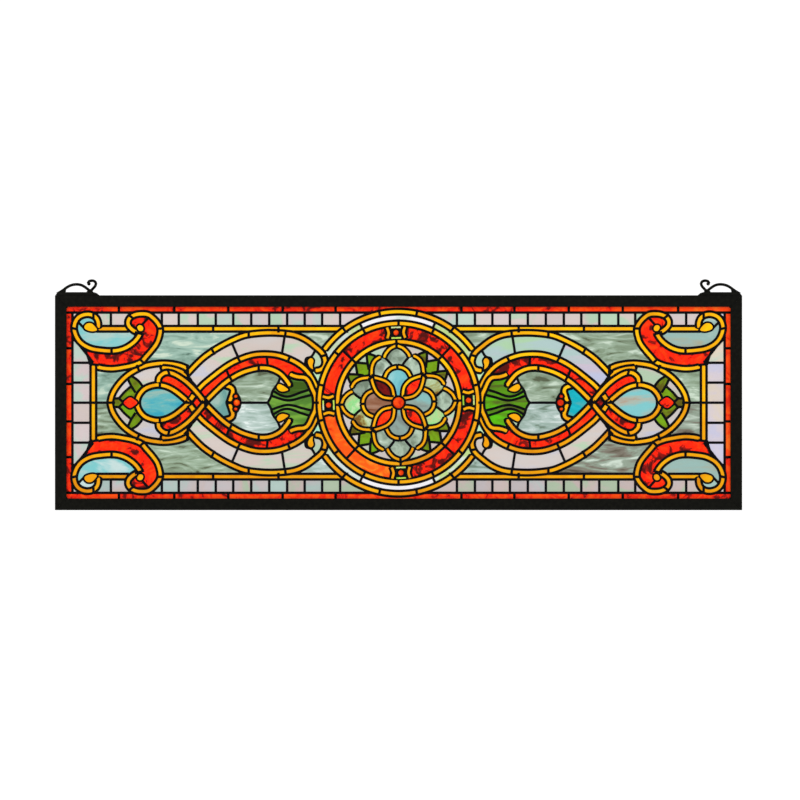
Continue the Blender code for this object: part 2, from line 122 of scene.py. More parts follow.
# Gold bands of one quarter, by their middle lines, from the lowest to the topmost
GOLD_BANDS = {
    "gold_eye_ring": [
        (338.5, 0), (337.5, 6), (334, 12.5), (328.5, 18), (320.5, 21.5), (311, 23), (300.5, 21), (290.5, 16),
        (280, 8), (271, 0),
    ],
    "gold_leaf_outer": [
        (273, 44), (282.5, 48), (295.5, 50.5), (307, 51), (320, 49.5), (331.5, 46.5), (343.5, 40.5),
        (354.5, 32.5), (364, 22), (370.5, 11), (373.5, 0),
    ],
    "gold_leaf_second": [(273.5, 35.5), (282.5, 40.5), (294, 44), (307.5, 45.5)],
    "gold_ribbon_middle": [
        (260, 16), (253, 23.5), (241, 33.5), (228, 43.5), (215.5, 51.5), (201, 58), (187, 62), (172.5, 63),
        (157, 61.5), (143, 57), (130, 50.5), (119.5, 42), (112, 31.5), (105.5, 18.5),
    ],
    "gold_heart_edge": [
        (230, 24), (223.5, 22), (217, 19.8), (214.4, 15.5), (216.2, 8.5), (218.3, 2), (218.5, 0),
    ],
    "gold_ribbon_inner": [
        (251, 0.5), (245, 6.5), (236, 15.5), (225.5, 25), (214, 33), (201, 39.5), (185.5, 44), (174, 45),
        (163.5, 43), (153, 37.5), (145.5, 29.5), (141.5, 23.5), (141.5, 19.5),
    ],
    "gold_crossing": [
        (311, 26.5), (310.5, 31.5), (307.5, 35.5), (303, 38.5), (297.5, 39), (290.5, 37), (281, 31.5),
        (271, 23.5), (260.5, 12.5), (250, -0.5),
    ],
    "gold_ribbon_outer": [
        (275, 36), (271.5, 39.5), (263, 48.5), (253, 58), (240.5, 67), (228, 74.5), (214, 81.5),
        (200, 87), (184.5, 89.5), (166, 90.5), (146, 89.5), (132.5, 87), (119.5, 81), (108, 72.5),
        (100, 65.5), (96.5, 59.5), (95, 52.5), (97, 46), (102, 42.5), (109.5, 41.5),
    ],
    "gold_fan_edge": [
        (142, 38), (137.5, 35.5), (130.5, 33.5), (121.5, 32.5), (116.5, 28), (112, 18.5), (108, 9), (107, 0),
    ],
    "gold_scroll_inner": [
        (389, 95.5), (388.5, 102), (390.5, 108.5), (395.5, 113), (403.5, 114.5), (412, 112), (417.5, 106.5),
        (420, 98.5), (419, 90.5), (415, 82), (408, 75), (397.5, 70), (386, 68), (373, 67), (362.5, 68),
        (352.5, 71.5), (343.5, 77.5), (337.5, 84), (334, 90),
    ],
    "gold_scroll_outer": [
        (338, 90.5), (344.5, 94.5), (349.5, 100), (350, 106), (346.5, 111), (340.5, 114), (333, 115),
        (324, 114), (316, 108), (310.5, 101), (308.5, 95), (309.5, 86.5), (313, 77), (319.5, 68),
        (327, 59.5), (333, 53), (343.5, 48.5), (355, 46), (369, 44), (381, 44.5), (391, 46.5),
    ],
}

# Lead over the free ends of gold bands: its length at the start and at the end of the line
BAND_CAPS = {
    "gold_fan_edge": (2.0, 0),
    "gold_ribbon_outer": (0, 2.2),
    "gold_ribbon_inner": (0, 2.0),
    "gold_leaf_second": (0, 1.5),
    "gold_scroll_inner": (1.5, 0),
    "gold_scroll_outer": (0, 1.2),
}

# Leads that part one piece of glass from the next, under the gold bands
THIN_LEADS = [
    [(398, 47), (406.5, 68.5), (423, 84)],
    [(407.5, 97), (415, 104.5)],
    [(323, 111), (332, 101)],
    [(372.4, line_z + 4), (372.4, border_z)],
    [(376, 0), (392, 0)],
    [(column_x, TILE_CUTS_UP[0]), (422, 86)],
    [(351, 32), (346, 21.5), (340.5, 13)],
    [(346.3, 21.3), (355, 13.6), (362, 6), (367, 5.8)],
    [(356, 0), (361.7, 5.4)],
    [(346.5, 35), (338, 29.4), (332.3, 22.6), (331, 18)],
    [(272.5, 33), (261, 20)],
    [(217, 80), (207, 57)],
    [(147, 89), (151, 63)],
    [(106, 71), (112.5, 60), (119.6, 57), (121, 47)],
    [(111.2, 44), (109.5, 40)],
    [(224, 46), (218, 30)],
    [(171, 63), (169, 45)],
    [(169.5, 0), (165.5, 7), (162.5, 16), (156.5, 24.5), (152, 36)],
    [(115, 17), (127.5, 13), (136.5, 9.5), (144, 8), (152, 9.5), (162, 15)],
    [(111, 10.5), (125, 7), (135, 4), (144, 3), (153, 5), (164.5, 9)],
    [(219, 24.5), (216, 23), (212, 18.5), (210, 12.5), (206.3, 7), (204.5, 0)],
    [(170, 0), (203, 0)],
]

# Short leads across the gold bands, on top of them
BAND_JOINTS = [
    [(395, 108), (395, 118)], [(416, 95), (424, 97)], [(371.5, 63), (371.5, 72)], [(389, 92), (389, 94)],
    [(342, 108), (350, 114)], [(304, 96), (314, 96)], [(328, 50), (336, 57)],
    [(335, 39), (339, 49)], [(296, 34), (299, 44)], [(309, 18), (309, 27)],
    [(238, 62), (243, 72)], [(194, 83), (194, 93)], [(147, 85), (146, 94)], [(92, 62), (101, 60)],
    [(204, 51), (209, 60)], [(140, 61), (144, 52)], [(215, 27), (220, 36)], [(181, 40), (181, 50)],
    [(240, line_z - joint_half), (240, line_z + joint_half)],
    [(155.5, line_z - joint_half), (155.5, line_z + joint_half)],
    [(column_x - joint_half, 0), (column_x + joint_half, 0)],
    [(307, 42), (309.5, 49)], [(388, 48.5), (401, 50.5)],
    [(329.5, 88), (341.5, 91.5)], [(213, -2), (224, 2)], [(103, 0), (112, 0)], [(334.5, 0), (342.5, 0)],
    [(367, 0), (379, 0)], [(273.8, 47.5), (272.6, 41), (272.8, 35), (268, 28.5)],
    [(258.5, 0), (245, 0)], [(250.3, 6), (250.3, -6)], [(276, 0), (265.5, 0)],
]

# The broad lead beside the heart's boss
BOSS_LEAD = [(214.5, 20), (211.8, 10), (210, 0)]
boss_lead_half = 2.4

# Small pieces of glass with a lead all round, by their outlines
SMALL_PIECES = {
    "gold_scroll_eye": [
        (406.5, 99), (403, 102.5), (397.5, 102.5), (393, 98.5), (390.5, 94), (396.5, 92.5), (403, 94),
        (406, 96),
    ],
    "gold_volute_eye": [
        (338.2, 97.5), (336, 100.2), (332.6, 99.8), (330.6, 96.8), (331.6, 93.4), (335.8, 93.2),
    ],
    "gold_ribbon_drop": [
        (112.7, 57.5), (110.2, 54.3), (111.4, 48.5), (111, 43.5), (115, 46.5), (117.2, 52.5), (116, 56.2),
    ],
    "gold_curl": [(157.5, 20), (155, 24), (149.5, 22), (145, 19), (143, 16.5), (149.5, 14.5), (154.5, 16)],
    "gold_tie": [(271, 5.4), (267.4, 11), (263.6, 8.2), (267.4, 3)],
    "glass_tie_red": [(265, 0), (261.2, 5), (257.2, 0), (261.2, -5)],
    "glass_bud": [
        (338.4, 0), (343, 4.6), (347.5, 6.8), (351.8, 4.4), (355.8, 0), (351.8, -4.6), (347.5, -6.8),
        (343, -4.4),
    ],
}
STRAIGHT_SIDED = {"gold_tie", "glass_tie_red"}
ACROSS_THE_MIDDLE = {"glass_tie_red", "glass_bud"}

# Round jewels of the heart's boss: place and radius
BOSS_JEWELS = [((210.7, 8.1), 2.4), ((209.6, 0), 4.3)]

# A jewel passes a little under its lead, and is domed by a share of its radius, up to a limit
jewel_under_lead = 1.04
jewel_dome_share = 0.28
jewel_dome_most = 1.9

# A place in each piece of glass of one quarter, and the glass that it is cut from
PLACES = {
    "glass_tile_corner": ("tile", [(365, 109), (381, 109)]),
    "glass_corner_bit": ("tile", [(419.5, 114.5), (311, 113)]),
    "glass_scroll_blue": ("boat", [(380, 80), (401.5, 107.8), (413, 95)]),
    "glass_scroll_red": ("red", [(375, 56), (330, 80), (340, 107)]),
    "glass_ground": ("ground", [(290, 70)]),
    "glass_ground_side": ("ground", [(384, 20)]),
    "glass_ground_tip": ("ground", [(97, 86)]),
    "glass_leaves": ("leaf", [(340, 23.3), (350.4, 10.3), (363.5, 0)]),
    "glass_leaf_white": ("opal", [(323.9, 34.9), (356.9, 18.7)]),
    "glass_strip_red": ("red", [(288, 24.5)]),
    "glass_eye": ("eye", [(305, 3)]),
    "glass_ribbon_white": ("opal", [(240, 50), (180, 76), (130, 68)]),
    "glass_ribbon_red": ("red", [(240, 24.5), (195, 51), (150, 50), (126, 40)]),
    "glass_bean": ("opal", [(103.5, 56)]),
    "glass_volute_green": ("leaf_pale", [(104, 35)]),
    "glass_curl_white": ("opal", [(150, 27.5)]),
    "glass_fan": ("fan", [(128, 20), (126, 10), (140, 0)]),
    "glass_ground_inner": ("ground", [(183, 20)]),
    "glass_heart": ("heart", [(235, 3)]),
}
ONE_EACH_SIDE = {
    "glass_ground_side", "glass_leaves", "glass_eye", "glass_heart", "glass_fan", "glass_ground_inner",
}

# How far the pale arcs, the tile rows and the tile columns reach
pale_arc_foot = 50
tile_row_end = 309
tile_column_end = 86

# Where the window changes from one sheet of glass to another, from its middle. A petal is tan where its
# distance across times its height is more than the slant
orange_border_from = (border_x - 60, -60)
orange_ring_below = -15
blue_ribbon_reach = (40, 300)
blue_ribbon_from = 30
green_arc_from = 50
middle_ground_reach = 240
tan_petal_from = 40
tan_petal_slant = 400
lime_petal_left = -50
lime_petal_right = (40, -12)
teal_drop_from = 20
rose_drop_left = -20

# The kinds of glass: where in its pattern each colour lies, the pattern's scale, how far it swirls, its
# stretch along X, Y and Z, and how far one piece may drift from the next
even = (1, 1, 1)
streaked = (0.35, 1, 1.4)
GLASS_KINDS = {
    "gold": ([(0.3, (236, 158, 0)), (0.5, (251, 178, 0)), (0.7, (255, 196, 4))], 40, 0.5, even, 0.2),
    "red": (
        [(0.38, (80, 8, 4)), (0.44, (132, 14, 4)), (0.475, (246, 30, 0)), (0.7, (255, 64, 2))],
        52, 1.4, even, 0.16,
    ),
    "dark_red": ([(0.35, (60, 6, 5)), (0.55, (115, 10, 6)), (0.72, (235, 30, 8))], 60, 1.0, even, 0),
    "border_red": ([(0.36, (120, 12, 2)), (0.43, (240, 32, 0)), (0.64, (255, 76, 4))], 75, 1.0, even, 0.14),
    "border_orange": (
        [(0.3, (225, 35, 3)), (0.45, (255, 66, 4)), (0.7, (255, 110, 20))],
        75, 1.0, even, 0.14,
    ),
    "orange": ([(0.3, (225, 40, 5)), (0.48, (255, 88, 12)), (0.7, (255, 140, 30))], 55, 1.2, even, 0.1),
    "tile": (
        [(0.34, (174, 200, 174)), (0.42, (204, 190, 184)), (0.58, (202, 188, 188)), (0.67, (180, 200, 188))],
        17, 0.8, even, 0.36,
    ),
    "tile_lilac": (
        [(0.34, (196, 194, 216)), (0.46, (208, 198, 206)), (0.6, (216, 202, 184)), (0.72, (184, 204, 190))],
        18, 0.8, even, 0.2,
    ),
    "tile_grey": (
        [(0.36, (166, 182, 158)), (0.45, (188, 172, 168)), (0.56, (184, 176, 178)), (0.67, (166, 186, 180))],
        16, 0.8, even, 0.3,
    ),
    "opal": (
        [(0.37, (174, 198, 170)), (0.46, (200, 187, 180)), (0.58, (198, 190, 186)), (0.68, (188, 188, 202))],
        18, 1.2, streaked, 0.2,
    ),
    "opal_blue": (
        [(0.36, (164, 198, 160)), (0.46, (166, 190, 188)), (0.57, (192, 180, 194)), (0.68, (180, 184, 210))],
        14, 1.2, streaked, 0.3,
    ),
    "arc_white": (
        [(0.34, (200, 215, 205)), (0.5, (232, 230, 234)), (0.7, (240, 238, 245))],
        30, 1.0, even, 0.1,
    ),
    "arc_green": (
        [(0.34, (150, 196, 200)), (0.47, (205, 215, 210)), (0.58, (180, 205, 130)), (0.7, (215, 222, 225))],
        18, 1.0, even, 0.2,
    ),
    "boat_left": (
        [(0.38, (186, 208, 206)), (0.5, (118, 190, 192)), (0.62, (166, 194, 188))],
        22, 1.0, streaked, 0,
    ),
    "boat_right": (
        [(0.34, (190, 205, 190)), (0.5, (150, 182, 176)), (0.68, (170, 166, 140))],
        22, 1.2, streaked, 0,
    ),
    "ground": (
        [(0.33, (88, 96, 74)), (0.42, (128, 146, 122)), (0.53, (150, 170, 148)), (0.66, (196, 212, 194))],
        62, 1.5, streaked, 0.06,
    ),
    "ground_blue": (
        [(0.33, (92, 118, 106)), (0.42, (126, 156, 142)), (0.53, (148, 178, 164)), (0.66, (192, 208, 190))],
        56, 1.6, streaked, 0.06,
    ),
    "ground_warm": (
        [(0.33, (84, 76, 62)), (0.43, (120, 114, 102)), (0.53, (138, 152, 136)), (0.66, (194, 208, 194))],
        56, 1.6, streaked, 0.06,
    ),
    "ground_pale": (
        [(0.33, (112, 132, 118)), (0.43, (150, 172, 162)), (0.55, (176, 194, 188)), (0.66, (216, 226, 222))],
        62, 1.5, streaked, 0.06,
    ),
    "leaf": ([(0.37, (92, 84, 16)), (0.48, (106, 130, 12)), (0.6, (112, 158, 16))], 42, 1.0, even, 0.2),
    "leaf_pale": (
        [(0.34, (150, 215, 195)), (0.52, (185, 222, 180)), (0.7, (215, 232, 170))],
        40, 0.8, even, 0.2,
    ),
    "cartouche_green": (
        [(0.34, (150, 200, 60)), (0.52, (190, 225, 90)), (0.7, (215, 228, 180))],
        60, 0.8, even, 0.3,
    ),
    "fan_left": (
        [(0.36, (58, 88, 20)), (0.46, (78, 124, 44)), (0.64, (112, 160, 56))],
        30, 2.2, streaked, 0.16,
    ),
    "fan_right": (
        [(0.36, (80, 98, 28)), (0.47, (84, 140, 16)), (0.64, (84, 182, 8))],
        30, 2.2, streaked, 0.2,
    ),
    "eye_left": (
        [(0.38, (54, 160, 184)), (0.49, (92, 176, 182)), (0.6, (146, 182, 172))],
        34, 1.4, streaked, 0,
    ),
    "eye_right": (
        [(0.36, (176, 150, 130)), (0.48, (168, 180, 168)), (0.62, (125, 195, 198))],
        24, 1.2, streaked, 0,
    ),
    "heart_left": (
        [(0.38, (100, 150, 146)), (0.5, (124, 166, 156)), (0.64, (152, 180, 170))],
        30, 1.0, even, 0,
    ),
    "heart_right": (
        [(0.38, (100, 165, 158)), (0.48, (14, 168, 184)), (0.64, (34, 186, 200))],
        24, 1.0, streaked, 0,
    ),
    "petal": (
        [(0.36, (114, 130, 112)), (0.46, (140, 158, 140)), (0.56, (164, 184, 164)), (0.68, (206, 222, 206))],
        55, 1.2, even, 0.12,
    ),
    "petal_lime": (
        [(0.34, (185, 190, 120)), (0.47, (170, 205, 140)), (0.58, (140, 215, 135)), (0.7, (205, 225, 180))],
        45, 1.2, even, 0.1,
    ),
    "petal_tan": (
        [(0.36, (120, 84, 28)), (0.45, (160, 158, 96)), (0.56, (176, 196, 150)), (0.7, (220, 230, 205))],
        50, 1.2, even, 0.06,
    ),
    "drop_teal": (
        [(0.34, (96, 170, 184)), (0.5, (116, 186, 192)), (0.7, (150, 200, 200))],
        40, 1.0, even, 0,
    ),
    "drop_rose": (
        [(0.38, (120, 66, 38)), (0.48, (146, 100, 74)), (0.64, (168, 130, 108))],
        50, 1.4, streaked, 0,
    ),
    "drop_grey": (
        [(0.38, (126, 138, 132)), (0.5, (138, 160, 152)), (0.64, (130, 182, 180))],
        40, 1.0, even, 0.1,
    ),
    "jewel": ([(0.34, (215, 35, 0)), (0.5, (250, 75, 0)), (0.68, (255, 165, 15))], 90, 0.8, even, 0.1),
}
# Painted shade: what a kind of glass is multiplied by in the lower half of the window, where less light
# falls, and the heights between which that painted shade sets in
LOWER_PAINTED_SHADE = {"gold": (237, 222, 255)}
painted_shade_start = 25
painted_shade_full = -45

# The darkest that a piece may be beside its sheet, and how much brighter the next may be
piece_brightness = 0.93
piece_brightness_range = 0.12

# A hanger, as (distance from the middle, height above the frame's top edge)
wire_radius = 1.85
wire_sides = 12
hook_end_radius = wire_radius * 1.25
hanger_depth = 5.6
hanger_ease = 0.5
web_depth = 2 * wire_radius - 0.4
web_ease = 0.3
HANGER_PLATE = [(444.2, 0.02), (443.2, 1.6), (438, 4.2), (394.5, 4.2), (391, 3.1), (387.4, 0.02)]
HANGER_WEBS = [
    [(443.5, 0.8), (440, 5), (434.5, 7.6), (430.2, 9.6), (431.4, 3.5)],
    [(404.6, 3.5), (402.5, 7), (398.8, 8.4), (396.2, 7), (395.6, 3.5)],
]
HANGER_ARCH = [
    (442.4, 1.9), (435, 6.4), (430, 10.1), (424.5, 13), (417.5, 14.3), (410.5, 13.2), (404.5, 9.6),
    (399.5, 5.5),
]
HANGER_HOOK = [
    (398.8, 5), (396.4, 8.2), (393.4, 11.4), (391.9, 15.2), (393.7, 18.2), (397.3, 19.1), (401, 18.2),
    (402.2, 16.4), (401, 15),
]

# The rosette: gold lines, leads and places for half of one arm, with the arm standing up
ROSETTE_GOLD = {
    "gold_rosette_foot": ([(18.5, 29), (16.4, 34.2), (12.9, 40.6), (6.8, 45), (0, 46.5)], (0, 0)),
    "gold_rosette_hood": ([(16.8, 57.5), (15.5, 62), (12.4, 66.5), (7.5, 71), (0, 74.2)], (1.5, 0)),
    "gold_rosette_side": ([(20.3, 61), (28.4, 55.8), (32.6, 47.9), (33.9, 36)], (1.2, 0)),
    "gold_almond": (
        [(34.5, 34.3), (30.7, 33.6), (22.3, 31.3), (14.7, 27.7), (8.5, 21), (6.3, 13.1), (5.8, 6)],
        (0, 0),
    ),
}
ROSETTE_LEADS = [
    [(16.2, 59.5), (14.1, 57.4), (8.2, 50.5), (6, 46)],
    [(38.6, 64.6), (32.6, 63.4), (24.9, 60)],
    [(39, 66), (38.7, 55.9), (37, 44)],
    [(54, 54), (38.5, 52)],
    [(16, 60), (21, 60.5)],
]
ROSETTE_JOINTS = [[(0, 70), (0, 78)], [(0, 43), (0, 50)], [(29.5, 38.5), (34, 34)], [(34, 34), (38.5, 38.5)]]
ROSETTE_PLACES = {
    "glass_petal": ("petal", [(0, 57), (20, 46)]),
    "glass_drop": ("drop", [(0, 33)]),
    "glass_almond": ("almond", [(19, 19)]),
    "glass_rosette_green": ("leaf", [(35, 58), (46, 46)]),
    "glass_rosette_white": ("opal", [(23.4, 67.5), (43.6, 57.2)]),
}
centre_jewel_radius = 7.2

# A cartouche of the red ring: distance along the ring, and distance outwards from its middle
cartouche_cap = [(11.6, -7), (9.6, 0), (11.6, 7)]
cartouche_bit = [(-6.2, 0), (6.2, 0)]
cartouche_bed_half = 9.5
cartouche_cap_bed = 1.2
cartouche_cap_half = 1.5
cartouche_bit_half = 1.0
cartouche_bit_out = 6.8
cartouche_jewel_radius = 3.6

# The stage, in metres: a floor that sweeps up into a wall all round
floor_height = -1.1
floor_radius = 5.5
sweep_radius = 2.5
sweep_start = 0.15
sweep_steps = 12
wall_top = 7.0
floor_turns = 64
floor_grey = 0.25
floor_glow = 0.82
sky_strength = 0.9

# The lights of the stage: place and size in metres, and power in watts
LIGHTS = {
    "key": ((-1.8, -2.6, 1.6), 1.6, 14),
    "fill": ((2.2, -2.4, 0.4), 2.0, 5),
    "back": ((0.5, 2.6, 1.8), 2.0, 12),
}

# The camera, in metres: the width that the picture takes in where the panel's front is, how far off it
# stands, and how far right of the panel's middle and above it
picture_width = 1.0345
camera_distance = 3.0
camera_across = 0.0019
camera_above = 0.0035
sensor_width = 36.0


def on_curve(a, b, c, d, t):
    """A point a share t of the way from b to c, on a smooth curve through a, b, c and d."""
    return 0.5 * (2 * b + (c - a) * t + (2 * a - 5 * b + 4 * c - d) * t**2 + (3 * b - 3 * c + d - a) * t**3)


def smooth(points):
    """Points along one smooth curve through the given points."""
    points = [np.array(p, float) for p in points]
    if len(points) == 2:
        return points
    ends = [2 * points[0] - points[1], *points, 2 * points[-1] - points[-2]]
    curve = []
    for a, b, c, d in zip(ends, ends[1:], ends[2:], ends[3:]):
        steps = max(1, round(np.hypot(*(c - b)) / curve_step))
        curve += [on_curve(a, b, c, d, step / steps) for step in range(steps)]
    curve.append(points[-1])
    return curve


def loop_through(points):
    """A smooth closed curve through the given points."""
    points = [np.array(p, float) for p in points]
    around = points[-2:] + points + points[:2]
    curve = []
    for i in range(len(points)):
        curve += [on_curve(*around[i + 1 : i + 5], t) for t in (0.0, 0.33, 0.67)]
    return curve


def arc(radius, start, end, centre=(0, 0)):
    """Points on a circle, between two angles in degrees."""
    steps = max(8, math.ceil(radius * math.radians(end - start) / curve_step))
    angles = np.radians(np.linspace(start, end, steps + 1))
    return [np.array(centre) + radius * np.array((math.cos(a), math.sin(a))) for a in angles]


def turned(points, degrees):
    """The points, turned about the middle of the window."""
    turn = math.radians(degrees)
    spin = np.array(((math.cos(turn), -math.sin(turn)), (math.sin(turn), math.cos(turn))))
    return [spin @ np.asarray(p, float) for p in points]


def in_quarters(points):
    """The four mirror images of a line or a set of places, each with its signs."""
    return [((x, z), [np.asarray(p, float) * (x, z) for p in points]) for x in (1, -1) for z in (1, -1)]


def in_arms(points):
    """The eight images of a line or a set of places in the rosette."""
    images = []
    for arm in range(4):
        for side in (1, -1):
            half = [np.asarray(p, float) * (side, 1) for p in points]
            images.append((arm, turned(half, 90 * arm + medallion_turn)))
    return images


def corner_name(place):
    return ("upper" if place[1] >= 0 else "lower") + "_" + ("right" if place[0] >= 0 else "left")


class Window:
    """The plane of the window, cut along the edges of every strip and piece that is laid on it.

    Strips and pieces are laid one after another, and what comes later lies on top.
    """

    LEAD = 1

    def __init__(self):
        width = opening_half_width + glass_in_channel
        height = opening_half_height + glass_in_channel
        self.reach = np.array((width, height))
        corners = [np.array((x * width, z * height)) for x, z in ((1, 1), (-1, 1), (-1, -1), (1, -1))]
        self.edges = list(zip(corners, corners[1:] + corners[:1]))
        self.laid = []
        self.names = ["bare", "lead"]

    def kind(self, name):
        if name not in self.names:
            self.names.append(name)
        return self.names.index(name)

    def lay_strip(self, line, half, name, closed=False, rounded=(False, False)):
        """A strip of even width along a line. Its ends can be drawn in, as glass cut round is."""
        left, right = strip_sides(line, half, closed)
        for end, drawn_in in zip((0, -1), rounded):
            if drawn_in and len(line) > 3:
                one, other = left[end], right[end]
                left[end] = one * (1 - drawn_in_share) + other * drawn_in_share
                right[end] = other * (1 - drawn_in_share) + one * drawn_in_share
        count = len(line)
        spans = [(i, (i + 1) % count) for i in range(count if closed else count - 1)]
        for side in (left, right):
            self.edges += [(side[a], side[b]) for a, b in spans]
        if not closed:
            self.edges += [(left[0], right[0]), (left[-1], right[-1])]
        triangles = []
        for a, b in spans:
            triangles += [(left[a], left[b], right[b]), (left[a], right[b], right[a])]
        self.laid.append((self.kind(name), triangles))

    def lay_crest(self, line, closed=False):
        """An edge in the mesh without a width, for the crest of a bead of solder."""
        line = list(line) + ([line[0]] if closed else [])
        self.edges += list(zip(line, line[1:]))

    def lay_piece(self, outline, name):
        """A piece of glass with a lead all round."""
        self.lay_strip(outline, piece_lead_half, "lead", closed=True)
        self.edges += list(zip(outline, outline[1:] + outline[:1]))
        flat = [Vector((x, z, 0)) for x, z in outline]
        triangles = [tuple(outline[i] for i in corners) for corners in tessellate_polygon([flat])]
        self.laid.append((self.kind(name), triangles))

    def lay_lead(self, line):
        self.lay_strip(line, lead_half, "lead")
        self.lay_crest(line)

    def lay_band(self, line, half, edge, name, closed=False, caps=(0, 0)):
        """A strip of glass between two leads, with lead over its ends for the given lengths."""
        free = tuple(cap > 0 for cap in caps)
        self.lay_strip(line, edge, "lead", closed, free)
        for side in strip_sides(line, (half + edge) / 2, closed):
            self.lay_crest(side, closed)
        self.lay_strip(line if closed else shortened(line, caps), half, name, closed, free)

    def cut(self):
        """Cuts the plane, and finds what shows on top in each small face."""
        points = [Vector(p) for edge in self.edges for p in edge]
        pairs = [(2 * i, 2 * i + 1) for i in range(len(self.edges))]
        verts, _, faces, _, _, _ = delaunay_2d_cdt(points, pairs, [], 0, 1e-3, False)
        self.verts = np.array([tuple(v) for v in verts])
        faces = np.array(faces)
        middles = self.verts[faces].mean(axis=1)
        faces = faces[np.all(np.abs(middles) < self.reach, axis=1)]
        middles = self.verts[faces].mean(axis=1)
        order = np.argsort(middles[:, 0])
        self.faces = faces[order]
        self.middles = middles[order]
        self.top = np.zeros(len(self.faces), int)
        for kind, triangles in self.laid:
            for triangle in triangles:
                self.top[self.faces_inside(np.array(triangle))] = kind
        corners = self.verts[self.faces]
        first = corners[:, 1] - corners[:, 0]
        second = corners[:, 2] - corners[:, 0]
        self.areas = np.abs(first[:, 0] * second[:, 1] - first[:, 1] * second[:, 0]) / 2
        self.find_islands()

    def faces_inside(self, triangle):
        """The faces whose middles lie in a triangle."""
        start, end = np.searchsorted(self.middles[:, 0], (triangle[:, 0].min(), triangle[:, 0].max()))
        places = self.middles[start:end]
        signs = []
        for a, b in zip(triangle, np.roll(triangle, -1, axis=0)):
            edge = b - a
            signs.append(edge[0] * (places[:, 1] - a[1]) - edge[1] * (places[:, 0] - a[0]))
        signs = np.array(signs)
        return start + np.flatnonzero(np.all(signs >= 0, axis=0) | np.all(signs <= 0, axis=0))

    def find_islands(self):
        """Groups touching faces of one kind. What is too small to cut in glass is filled with lead."""
        shared = {}
        for index, face in enumerate(self.faces.tolist()):
            for a, b in ((face[0], face[1]), (face[1], face[2]), (face[2], face[0])):
                shared.setdefault((min(a, b), max(a, b)), []).append(index)
        neighbours = [[] for _ in self.faces]
        for pair in shared.values():
            if len(pair) == 2 and self.top[pair[0]] == self.top[pair[1]]:
                neighbours[pair[0]].append(pair[1])
                neighbours[pair[1]].append(pair[0])
        found = np.full(len(self.faces), -1)
        self.islands = []
        for start in range(len(self.faces)):
            if found[start] >= 0 or self.top[start] == self.LEAD:
                continue
            members = [start]
            found[start] = start
            for member in members:
                for other in neighbours[member]:
                    if found[other] < 0:
                        found[other] = start
                        members.append(other)
            members = np.array(members)
            if self.areas[members].sum() < smallest_piece:
                self.top[members] = self.LEAD
            else:
                self.islands.append(members)

    def middle_of(self, island):
        weights = self.areas[island][:, None]
        return (self.middles[island] * weights).sum(axis=0) / weights.sum()

    def holds(self, island, place):
        corners = self.verts[self.faces[island]]
        near = np.all((corners.min(axis=1) <= place) & (place <= corners.max(axis=1)), axis=1)
        for triangle in corners[near]:
            if point_in(place, triangle):
                return True
        return False


def point_in(place, triangle):
    signs = []
    for a, b in zip(triangle, np.roll(triangle, -1, axis=0)):
        edge = b - a
        signs.append(edge[0] * (place[1] - a[1]) - edge[1] * (place[0] - a[0]))
    return min(signs) >= 0 or max(signs) <= 0


def strip_sides(line, half, closed=False):
    """The two edges of a strip of even width along a line, with mitred corners."""
    line = [np.asarray(p, float) for p in line]
    count = len(line)
    left = []
    right = []
    for i, point in enumerate(line):
        before = line[i - 1] if i or closed else None
        after = line[(i + 1) % count] if i + 1 < count or closed else None
        ways = []
        for a, b in ((before, point), (point, after)):
            if a is not None and b is not None:
                ways.append((b - a) / max(np.hypot(*(b - a)), 1e-9))
        mean = sum(ways) / max(np.hypot(*sum(ways)), 1e-9)
        side = np.array((-mean[1], mean[0])) * half / max(mean @ ways[0], 0.6)
        left.append(point + side)
        right.append(point - side)
    return left, right


def shortened(line, amounts):
    """The line without a stretch at its start and one at its end."""
    line = [np.asarray(p, float) for p in line]
    for amount in amounts:
        line = line[::-1]
        rest = amount
        while len(line) > 2 and np.hypot(*(line[-1] - line[-2])) <= rest:
            rest -= np.hypot(*(line[-1] - line[-2]))
            line = line[:-1]
        way = line[-2] - line[-1]
        line[-1] = line[-1] + way * rest / max(np.hypot(*way), 1e-9)
    return line


def lay_borders(window):
    corners = [(border_x, border_z), (-border_x, border_z), (-border_x, -border_z), (border_x, -border_z)]
    for a, b in zip(corners, corners[1:] + corners[:1]):
        window.lay_lead([np.array(a), np.array(b)])
    out_z = opening_half_height + glass_in_channel
    out_x = opening_half_width + glass_in_channel
    corner = (opening_half_width - lead_overlap, opening_half_height - lead_overlap)
    for _, line in in_quarters([corner, (out_x, out_z)]):
        window.lay_lead(line)
    for x in RED_CUTS_ACROSS:
        for _, line in in_quarters([(x, border_z), (x, out_z)]):
            window.lay_lead(line)
    for z in (border_z, *RED_CUTS_UP):
        for _, line in in_quarters([(border_x, z), (out_x, z)]):
            window.lay_lead(line)
    for x in TILE_CUTS_ACROSS:
        for _, line in in_quarters([(x, line_z), (x, border_z)]):
            window.lay_lead(line)
    for z in TILE_CUTS_UP:
        for _, line in in_quarters([(column_x, z), (border_x, z)]):
            window.lay_lead(line)
    ring_crossing = math.sqrt(outer_ring**2 - line_z**2)
    gold_lines = {
        "gold_line": [(ring_crossing - gold_line_under_ring, line_z), (gold_line_end, line_z)],
        "gold_bar": [(x, line_z) for x in gold_bar_ends],
        "gold_column": [(column_x, -gold_past_middle), (column_x, gold_column_top)],
    }
    for name, points in gold_lines.items():
        for place, line in in_quarters(points):
            window.lay_band(line, gold_half, gold_edge, f"{name}_{corner_name(place)}")


